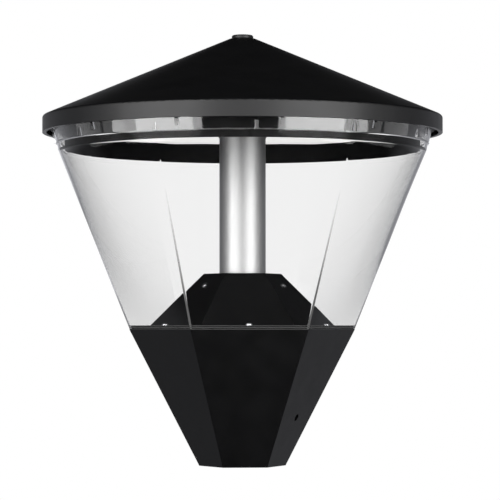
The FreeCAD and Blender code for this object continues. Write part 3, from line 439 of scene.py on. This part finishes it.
def paint_nodes():
    """Every carried-over part gets the finish its slot names, or its own where it is duller."""
    finishes = {
        "black_paint": black_paint(),
        "matte_black": matte_black(),
        "satin_aluminium": satin_aluminium(),
        "cast_aluminium": cast_aluminium(),
        "plated_steel": plated_steel(),
        "opal_plastic": opal_plastic(),
        "clear_bowl": clear_plastic(),
        "white_paint": plastic("white_powder_coat", srgb(232, 232, 230), 0.5),
        "black_rubber": plastic("black_rubber", srgb(28, 28, 29), 0.65),
        "black_plastic": plastic("black_plastic", srgb(24, 24, 25), 0.4),
        "grey_plastic": plastic("grey_plastic", srgb(150, 152, 154), 0.45),
        "white_plastic": plastic("white_plastic", srgb(236, 236, 234), 0.4),
        "white_board": plastic("white_board", srgb(240, 240, 238), 0.5),
    }
    own = {
        "light_ring": finishes["matte_black"],
        "side_screws": dark_steel("blackened_steel", 0.16),
        "cover_screws": dark_steel("dull_steel", 0.42),
    }
    for name, node in NODES.items():
        for place in node.material_slots:
            place.material = own.get(name) or finishes[place.material.name]
    return finishes


# ---------------------------------------------------------------- bowl
SIDES = 6
FULL_TURN = 360
SIDE_TURN = FULL_TURN / SIDES
WALL = 3.3 * MM
ROUND_TOP = 222.5 * MM        # from the bowl's foot to its round top
TOP_RADIUS = 230 * MM
BEAD_WIDTH, BEAD_HEIGHT = 4.3 * MM, 4.5 * MM
STEP = 1.3 * MM
LEDGE_RISE = 9 * MM
LEDGE = 1.8 * MM
COLLAR_RISE = 25 * MM
FLARE = 7 * MM
TAB_WIDTH = 4 * MM
TABS = 12
TAB_TURN = FULL_TURN / TABS
HOOK_TURN = 7.2
RIB_DEPTH, RIB_RISE = 2.8 * MM, 9.4 * MM
HOOK_DEPTH, HOOK_RISE = 1.2 * MM, 10.5 * MM
HAIR = 0.05 * MM              # run of the steep sides of ribs and hooks
CLEARANCE = 0.03 * MM         # between the rim and the seal on it
CORNER_FOOT = 0.72            # half a rounded corner at the foot, in degrees of the outline
CORNER_TOP = 0.05             # and at the round top
CORNER_STEPS = (-1.3, -1, -0.67, -0.33, 0, 0.33, 0.67, 1, 1.3)
RIB_FOOT_TURNS = (1.1, 1.17)  # a rib's columns at the foot, where they clear a rounded corner
WALL_COLUMNS = 288
WALL_ROWS = 28
FOOT_LINES = ((1.0, 2.1), (3.2, 4.1))  # heights above the foot, in mm, of two grey bands drawn on the clear foot
# Painted shade: a grey drawn on the outer side of the bowl's rounded corners, standing in for the dark
# lines their refraction shows.
CORNER_PAINTED_SHADE_GREY = (0.19, 0.19, 0.19, 1)
CORNER_SHADE_FADE = (30 * MM, 165 * MM)      # heights above the foot where the painted shade on the corners fades
FOOT_GREY = (0.12, 0.12, 0.12, 1)
CREASE = math.radians(25)
NEAR = 1e-6


def circle_point(turn, radius):
    a = math.radians(turn)
    return Vector((radius * math.cos(a), radius * math.sin(a)))


def hexagon_point(turn, across_flats, rounding):
    """A point of a hexagon whose sides are divided evenly by turn, with rounded corners."""
    radius = across_flats / math.sqrt(3)
    index = round(turn / SIDE_TURN)
    s = turn - SIDE_TURN * index
    before, here, after = (
        circle_point(SIDE_TURN * (index + step), radius) for step in (-1, 0, 1)
    )
    after = (after - here) / SIDE_TURN
    before = (here - before) / SIDE_TURN
    if abs(s) >= rounding:
        return here + (after if s > 0 else before) * s
    return here + (after * (s + rounding) ** 2 - before * (s - rounding) ** 2) / (4 * rounding)


def bowl_columns():
    """The mesh's columns as (turn at the foot, turn at the round top), in degrees."""
    half = math.degrees(TAB_WIDTH / 2 / TOP_RADIUS)
    hair = math.degrees(HAIR / TOP_RADIUS)
    columns = {(FULL_TURN * index / WALL_COLUMNS,) * 2 for index in range(WALL_COLUMNS)}

    def add(middle, low, high):
        columns.add(((middle + low) % FULL_TURN, (middle + high) % FULL_TURN))

    for corner in range(SIDES):
        for step in CORNER_STEPS:
            add(SIDE_TURN * corner, step * CORNER_FOOT, step * CORNER_TOP)
    for tab in range(TABS):
        middle = TAB_TURN * tab
        at_corner = middle % SIDE_TURN == 0
        for foot_turn, edge in zip(RIB_FOOT_TURNS, (half, half + hair)):
            low = foot_turn if at_corner else edge
            for sign in (-1, 1):
                add(middle, sign * low, sign * edge)
                add(middle + HOOK_TURN, sign * edge, sign * edge)
    return sorted(columns)


def on_tab(turn, offset):
    half = math.degrees(TAB_WIDTH / 2 / TOP_RADIUS) + NEAR
    away = (turn - offset + TAB_TURN / 2) % TAB_TURN - TAB_TURN / 2
    return abs(away) <= half


def make_bowl(clear, painted_corner_shade, foot_line, seat):
    outer_flats = 2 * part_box("base_housing")[1].y
    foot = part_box("bowl")[0].z
    top = foot + ROUND_TOP
    ledge, rim = top + LEDGE_RISE, top + COLLAR_RISE - CLEARANCE
    shelf = TOP_RADIUS + STEP + LEDGE
    flare_foot = shelf - LEDGE / 3
    rim_radius = TOP_RADIUS + FLARE
    rib_low, rib_high = ledge - LEDGE / 3, ledge + RIB_RISE
    hook_high = rim - LEDGE / 3
    hook_low = hook_high - HOOK_RISE

    def flare(height):
        return flare_foot + (rim_radius - flare_foot) * (height - ledge) / (rim - ledge)

    def wall(flats, radius, sharpness, share):
        rounding = (CORNER_FOOT + (CORNER_TOP - CORNER_FOOT) * share) * sharpness

        def point(turns):
            turn = turns[0] + (turns[1] - turns[0]) * share
            return hexagon_point(turn, flats, rounding).lerp(circle_point(turn, radius), share)
        return point

    def ring(radius, rib=False, hook=False):
        def point(turns):
            reach = radius
            if rib and on_tab(turns[1], 0):
                reach = max(reach, shelf + RIB_DEPTH)
            if hook and on_tab(turns[1], HOOK_TURN):
                reach = max(reach, rim_radius + HOOK_DEPTH)
            return circle_point(turns[1], reach)
        return point

    def outside(rise, kind="wall"):
        return (foot + rise, wall(outer_flats, TOP_RADIUS, 1, rise / ROUND_TOP), kind)

    def inside(rise):
        flats, radius = outer_flats - 2 * WALL, TOP_RADIUS - WALL
        return (foot + rise, wall(flats, radius, 0.5, rise / ROUND_TOP), "clear")

    bead = wall(outer_flats - 2 * BEAD_WIDTH, TOP_RADIUS, 0.5, 0)
    steps = [ROUND_TOP * i / WALL_ROWS for i in range(WALL_ROWS + 1)]
    # Each row is a height, a point for each column, and what the faces above it are.
    rows = [outside(0)]
    for start, end in FOOT_LINES:
        rows += [outside(start * MM, "line"), outside(end * MM)]
    rows += [outside(step) for step in steps[1:]]
    rows += [
        (ledge - LEDGE, ring(TOP_RADIUS + STEP), "clear"),
        (ledge - LEDGE * 0.6, ring(shelf), "clear"),
        (rib_low - HAIR, ring(shelf), "clear"),
        (rib_low, ring(shelf, rib=True), "clear"),
        (ledge, ring(shelf, rib=True), "clear"),
        (ledge, ring(flare_foot, rib=True), "clear"),
        (hook_low - HAIR, ring(flare(hook_low - HAIR), rib=True), "clear"),
        (hook_low, ring(flare(hook_low), rib=True, hook=True), "clear"),
        (rib_high, ring(flare(rib_high), rib=True, hook=True), "clear"),
        (rib_high + HAIR, ring(flare(rib_high + HAIR), hook=True), "clear"),
        (hook_high, ring(flare(hook_high), hook=True), "clear"),
        (hook_high + HAIR, ring(flare(hook_high + HAIR)), "clear"),
        (rim, ring(rim_radius), "clear"),
        (rim, ring(rim_radius - WALL), "clear"),
        (ledge - LEDGE, ring(TOP_RADIUS + STEP - WALL), "clear"),
    ]
    rows += [inside(step) for step in steps[:0:-1]]
    rows += [inside(BEAD_HEIGHT), (foot + BEAD_HEIGHT, bead, "seat"), (foot, bead, "seat")]

    def from_corner(column):
        return abs((column[0] + SIDE_TURN / 2) % SIDE_TURN - SIDE_TURN / 2)

    columns = bowl_columns()
    shape = bmesh.new()
    grid = [
        [shape.verts.new((*point(column), height)) for column in columns]
        for height, point, _ in rows
    ]
    slots = {"clear": 0, "wall": 0, "line": 2, "seat": 3}
    for index, (_, _, kind) in enumerate(rows):
        lower, upper = grid[index], grid[(index + 1) % len(rows)]
        for i in range(len(columns)):
            j = (i + 1) % len(columns)
            face = shape.faces.new((lower[i], lower[j], upper[j], upper[i]))
            face.smooth = True
            face.material_index = slots[kind]
            reach = max(from_corner(columns[i]), from_corner(columns[j]))
            # The rounded corners take the clear finish with painted shade on it.
            if kind == "wall" and reach <= CORNER_FOOT + NEAR:
                face.material_index = 1
    bmesh.ops.recalc_face_normals(shape, faces=shape.faces)
    mesh = bpy.data.meshes.new("clear_bowl")
    shape.to_mesh(mesh)
    shape.free()
    mesh.set_sharp_from_angle(angle=CREASE)
    for material in (clear, painted_corner_shade, foot_line, seat):
        mesh.materials.append(material)
    bowl = add_object("clear_bowl", mesh)
    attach(bowl, "bowl_body")
    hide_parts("bowl")


# ---------------------------------------------------------------- scene
make_camera()
make_world()
make_floor()
for settings in SOFTBOXES:
    softbox(*settings)
finishes = paint_nodes()
bowl_foot, bowl_top = (corner.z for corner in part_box("bowl"))
fade_start, fade_end = (bowl_foot + rise for rise in CORNER_SHADE_FADE)
# The corners' finish, with painted shade drawn on it.
painted_corner_shade = clear_plastic("clear_with_painted_corner_shade", (CORNER_PAINTED_SHADE_GREY, fade_start, fade_end))
# The foot's finish, with two grey bands drawn on it.
foot_line = clear_plastic("clear_with_grey_foot_bands", (FOOT_GREY, bowl_top, bowl_top + 1))
make_bowl(finishes["clear_bowl"], painted_corner_shade, foot_line, finishes["matte_black"])
bpy.context.scene.view_settings.view_transform = "Standard"
